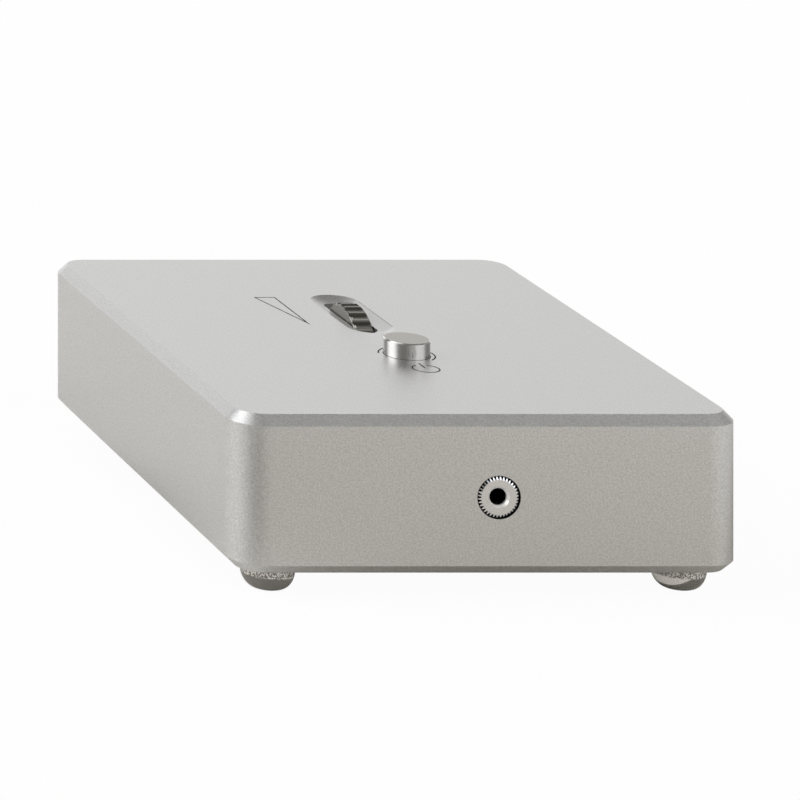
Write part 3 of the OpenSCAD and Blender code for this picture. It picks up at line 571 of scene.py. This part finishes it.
# The ring round the button is open towards the front left, and the power sign's ring towards the back, round
# its stroke
BUTTON_RING_RADIUS = 5.75 * MM
BUTTON_RING_ARC = (-50.0, 168.0)
POWER_SIGN = (0.0, -33.2)
POWER_SIGN_RADIUS = 2.75 * MM
POWER_SIGN_ARC = (118.0, 422.0)
POWER_STROKE = (0.7, 4.0)
ring_mark("button_ring_mark", Vector((button_mid.x, button_mid.y, TOP)), BUTTON_RING_RADIUS, *BUTTON_RING_ARC)
ring_mark("power_sign_arc", on_top(*POWER_SIGN), POWER_SIGN_RADIUS, *POWER_SIGN_ARC)
stroke_mark("power_sign_stroke", *[(POWER_SIGN[0], POWER_SIGN[1] + reach) for reach in POWER_STROKE])

# A hairline along the straight right edge of the finger scoop, painted darker than the metal as shade
HAIRLINE = 0.16 * MM
SCOOP_EDGE_X = wheel_mid.x / MM + 5.15
SCOOP_MID_Y = wheel_mid.y / MM - 0.7
SCOOP_STRAIGHT_HALF = 10.35
painted_scoop_edge_shade = surface("painted_shade_scoop_edge", ("#908e8a", "#a4a29e"), grain_mm=0.3, rough=(0.3, 0.4),
                         Metallic=1.0)
stroke_mark("scoop_edge_line", (SCOOP_EDGE_X, SCOOP_MID_Y - SCOOP_STRAIGHT_HALF),
            # painted shade: a dark metal strip laid along the scoop's edge
            (SCOOP_EDGE_X, SCOOP_MID_Y + SCOOP_STRAIGHT_HALF), HAIRLINE, painted_scoop_edge_shade)

# The wedge for the volume stands beside the wheel, with its point to the front
WEDGE_CORNERS = ((-17.1, 23.0), (-12.4, 0.8), (-12.4, 23.0))
WEDGE_LINE = 0.25 * MM
outline_mark("volume_wedge_mark", WEDGE_CORNERS, WEDGE_LINE)

# Feet: clear polyurethane bumpers, domed. The bubbly film of glue that holds them, drawn out as thick lenses
# would show it, is painted on the dome: a pale band of painted glints below the case with a ragged lower
# edge, and a darker line of painted shade above. Heights are from the ground, and each edge of the band fades
# over a short way.
BAND_LOW = 3.4 * MM
BAND_LOW_FADE = 0.4 * MM
BAND_HIGH = 4.6 * MM
BAND_HIGH_FADE = 0.15 * MM
RAGGED = 0.8 * MM
BUBBLE_MM = 0.35
SPARKS_FROM = 0.44
SPARKS_TO = 0.58


def clear_polyurethane():
    finish = surface("clear_polyurethane", ("#ccc8c0", "#d8d4cc"), grain_mm=2.5, rough=(0.03, 0.07), IOR=1.49)
    place = add_node(finish, "ShaderNodeTexCoord").outputs["Object"]
    height = add_node(finish, "ShaderNodeSeparateXYZ", None, {"Vector": place}).outputs["Z"]
    bubbles = grain(finish, BUBBLE_MM, detail=4.0)
    lifted = add_node(finish, "ShaderNodeMath", {"operation": "MULTIPLY", 1: RAGGED}, {0: bubbles})
    ragged_height = add_node(finish, "ShaderNodeMath", {"operation": "ADD"}, {0: height, 1: lifted})
    in_band = add_node(finish, "ShaderNodeMapRange", {
        "From Min": BAND_LOW, "From Max": BAND_LOW + BAND_LOW_FADE}, {"Value": ragged_height})
    above_band = add_node(finish, "ShaderNodeMapRange", {
        "From Min": BAND_HIGH, "From Max": BAND_HIGH + BAND_HIGH_FADE}, {"Value": height})
    sparks = add_node(finish, "ShaderNodeMapRange", {"From Min": SPARKS_FROM, "From Max": SPARKS_TO},
                      {"Value": bubbles})
    painted_glue_band = add_node(finish, "ShaderNodeValToRGB", {"stops": zip(GRAIN_BAND, ("#79746d", "#efece7"))},
                    {"Fac": sparks})
    # painted glints: the glue film's pale and dark specks are drawn on the dome within the band
    tint(finish, in_band, painted_glue_band)
    # painted shade: the dome above the band is darkened
    tint(finish, above_band, "#5a554e")
    feed(finish, "Transmission Weight", add_node(finish, "ShaderNodeMapRange", {
        "To Min": 0.74, "To Max": 0.15}, {"Value": in_band}))
    feed(finish, "Normal", add_node(finish, "ShaderNodeBump", {"Distance": 0.004 * MM}, {"Height": bubbles}))
    return finish


# Acrylic glue film, clear but full of tiny air bubbles: greyish, with sparks
glue_film = surface("acrylic_glue_film", ("#4a4641", "#a8a49c"), grain_mm=0.3, rough=(0.2, 0.5),
                    relief_mm=0.05, detail=4.0)
clear_bumper = clear_polyurethane()


def lathe(profile, centre, axis=(0, 0, 1), steps=96):
    """Spins a profile of (radius, place along the axis) in millimetres round an axis through centre."""
    shape = bmesh.new()
    verts = [shape.verts.new(centre + (Vector((1, 0, 0)) * r + Vector(axis) * h) * MM) for r, h in profile]
    edges = [shape.edges.new(pair) for pair in zip(verts, verts[1:])]
    bmesh.ops.spin(shape, geom=verts + edges, cent=centre, axis=axis, angle=math.tau, steps=steps,
                   use_merge=True)
    return shape


GLUE_THICKNESS = 0.25
GLUE_INSET = 0.2
GLUE_GAP = 0.02
FOOT_EDGE = 0.1


def foot_profile(radius, height, top, tip_share=0.45, band_share=0.2, steps=20):
    """From the middle of the tip up the dome and the short straight band to the middle of the upper face."""
    tip, dome = tip_share * radius, height * (1 - band_share)
    curve = [(tip + (radius - tip) * math.sin(a), dome * (1 - math.cos(a)))
             for a in (math.pi / 2 * i / steps for i in range(steps + 1))]
    return [(0.0, 0.0)] + curve + [(radius, top - FOOT_EDGE), (radius - FOOT_EDGE, top), (0.0, top)]


def glued_foot(corner):
    low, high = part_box("foot_" + corner)
    centre = Vector(((low.x + high.x) / 2, (low.y + high.y) / 2, low.z))
    radius, height = (high.x - low.x) / 2 / MM, (high.z - low.z) / MM
    glue_low, glue_radius = height - GLUE_THICKNESS, radius - GLUE_INSET
    dome = lathe(foot_profile(radius, height, glue_low - GLUE_GAP), centre)
    foot = mesh_piece("clear_foot_" + corner, dome, "case", clear_bumper, smooth=True)
    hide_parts("foot_" + corner)
    film = lathe([(0.0, glue_low), (glue_radius, glue_low), (glue_radius, height), (0.0, height)], centre)
    mesh_piece("glue_film_" + corner, film, "case", glue_film)


for foot_corner in ("front_left", "front_right", "rear_left", "rear_right"):
    glued_foot(foot_corner)

# Ground post: outside its collar it carries a fine thread, drawn as rings at the real pitch of 0.7 mm
THREAD_PITCH = 0.7
THREAD_DEPTH = 0.35
POST_RADIUS = 2.0
COLLAR_THICKNESS = 2.0


def threaded_post():
    low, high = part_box("ground_post")
    wall = Vector(((low.x + high.x) / 2, case_high.y, (low.z + high.z) / 2))
    inner, outer = (low.y - wall.y) / MM, (high.y - wall.y) / MM
    collar = (high.z - low.z) / 2 / MM
    core = POST_RADIUS - THREAD_DEPTH
    profile = [(0.0, inner), (POST_RADIUS, inner), (POST_RADIUS, 0.0), (collar, 0.0),
               (collar, COLLAR_THICKNESS), (core, COLLAR_THICKNESS)]
    turns = int((outer - COLLAR_THICKNESS) / THREAD_PITCH)
    start = outer - turns * THREAD_PITCH
    for i in range(turns):
        profile += [(core, start + i * THREAD_PITCH), (POST_RADIUS, start + (i + 0.5) * THREAD_PITCH)]
    profile += [(core, outer), (0.0, outer)]
    post = mesh_piece("threaded_ground_post", lathe(profile, wall, (0, 1, 0)), "case", gold)
    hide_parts("ground_post")


threaded_post()

# Stage and lights
# Painted shades on the card for what metal sees of it: where each has its middle, how far it is full and
# where it ends, in metres, and its colour
PAINTED_CARD_SHADES = (
    ((0.030, -0.160, 0.0), 0.05, 0.17, "#e1dad0"),     # painted warm shade of the room, in front
    ((0.085, 0.010, 0.0), 0.03, 0.09, "#a8a299"),      # painted darker at the right, behind
    ((0.0, 0.0, 0.0), 0.045, 0.078, "#a8a39c"),        # painted shadow under the object
    ((-0.085, -0.145, 0.0), 0.025, 0.062, "#8c867f"),  # a painted dark patch at the front left in place of a flag, for the corner
)
CARD_IN_METAL = "#fffdf9"
CARD_COLOUR = "#fafafa"
CARD_LIFT = 0.96
CARD_HALF_SIZE = 6.0


def white_card():
    """White card. What the camera and clear pieces see is lifted to white, and keeps the object's shadow."""
    card = bpy.data.materials.new("white_card")
    card.use_nodes = True
    card.node_tree.nodes.clear()
    place = add_node(card, "ShaderNodeTexCoord").outputs["Object"]
    shade_so_far = {}
    for middle, full, end, shade in PAINTED_CARD_SHADES:
        away = add_node(card, "ShaderNodeVectorMath", {"operation": "DISTANCE", 1: middle}, {0: place})
        near = add_node(card, "ShaderNodeMapRange", {"interpolation_type": "SMOOTHSTEP", "From Min": end,
                                                     "From Max": full}, {"Value": away.outputs["Value"]})
        shaded = add_node(card, "ShaderNodeMix", {"data_type": "RGBA", 6: linear(CARD_IN_METAL),
                                                  7: linear(shade)}, {"Factor": near, **shade_so_far})
        shade_so_far = {6: shaded.outputs[2]}
    rays = add_node(card, "ShaderNodeLightPath").outputs
    colour = add_node(card, "ShaderNodeMix", {"data_type": "RGBA", 6: linear(CARD_COLOUR)},
                      {"Factor": rays["Is Glossy Ray"], 7: shaded.outputs[2]})
    clear = add_node(card, "ShaderNodeMath", {"operation": "ADD"},
                     {0: rays["Is Camera Ray"], 1: rays["Is Transmission Ray"]})
    lift = add_node(card, "ShaderNodeMath", {"operation": "MULTIPLY", 1: CARD_LIFT, "use_clamp": True},
                    {0: clear})
    paper = add_node(card, "ShaderNodeBsdfDiffuse", None, {"Color": colour.outputs[2]})
    white = add_node(card, "ShaderNodeEmission", {"Color": linear("#ffffff"), "Strength": 1.0})
    mixed = add_node(card, "ShaderNodeMixShader", None, {0: lift, 1: paper, 2: white})
    add_node(card, "ShaderNodeOutputMaterial", None, {"Surface": mixed})
    return card


def stage_floor():
    mesh = bpy.data.meshes.new("floor")
    shape = bmesh.new()
    bmesh.ops.create_grid(shape, x_segments=1, y_segments=1, size=CARD_HALF_SIZE)
    shape.to_mesh(mesh)
    shape.free()
    floor = bpy.data.objects.new("floor", mesh)
    scene.collection.objects.link(floor)
    mesh.materials.append(white_card())


stage_floor()

# The room as metal and other surfaces see it: dim and warm, with white soft lights. Each is the direction it
# stands in, the cosines of the angles where it fades out and where it is full, and its strength.
ROOM_COLOUR = "#fff9ef"
ROOM_LEVEL = 0.20
SOFT_LIGHTS = (
    ((-0.86, 0.16, 0.48), 0.83, 0.95, 2.5),    # large softbox at the left
    ((-0.60, 0.10, 0.80), 0.85, 0.97, 0.75),   # its weaker upper half
    ((0.71, -0.60, 0.37), 0.83, 0.95, 1.4),    # softbox at the right, in front
    ((0.10, -0.77, 0.63), 0.93, 0.975, 1.15),  # softbox in front, high up
    ((0.94, 0.23, 0.25), 0.80, 0.95, 0.2),     # weak fill at the right
    ((0.14, 0.97, -0.13), 0.58, 0.97, 1.22),   # low white sweep behind
    ((0.00, 0.20, 0.98), 0.30, 0.95, 0.04),    # ceiling
)


def studio_world():
    world = bpy.data.worlds.new("studio")
    scene.world = world
    world.use_nodes = True
    world.node_tree.nodes.clear()
    direction = add_node(world, "ShaderNodeTexCoord").outputs["Generated"]
    total = None
    for towards, outer, inner, strength in SOFT_LIGHTS:
        facing = add_node(world, "ShaderNodeVectorMath", {
            "operation": "DOT_PRODUCT", 1: Vector(towards).normalized()}, {0: direction})
        glow = add_node(world, "ShaderNodeMapRange", {
            "interpolation_type": "SMOOTHSTEP", "From Min": outer, "From Max": inner, "To Min": 0.0,
            "To Max": strength}, {"Value": facing.outputs["Value"]})
        if total:
            glow = add_node(world, "ShaderNodeMath", {"operation": "ADD"}, {0: total, 1: glow})
        total = glow
    dim = add_node(world, "ShaderNodeBackground", {"Color": linear(ROOM_COLOUR), "Strength": ROOM_LEVEL})
    soft = add_node(world, "ShaderNodeBackground", {"Color": linear("#ffffff")}, {"Strength": total})
    room = add_node(world, "ShaderNodeAddShader", None, {0: dim, 1: soft})
    rays = add_node(world, "ShaderNodeLightPath").outputs
    clear = add_node(world, "ShaderNodeMath", {"operation": "ADD", "use_clamp": True},
                     {0: rays["Is Camera Ray"], 1: rays["Is Transmission Ray"]})
    white = add_node(world, "ShaderNodeBackground", {"Color": linear("#ffffff"), "Strength": 1.0})
    mixed = add_node(world, "ShaderNodeMixShader", None, {0: clear, 1: room, 2: white})
    add_node(world, "ShaderNodeOutputWorld", None, {"Surface": mixed})


studio_world()
scene.view_settings.view_transform = "Standard"
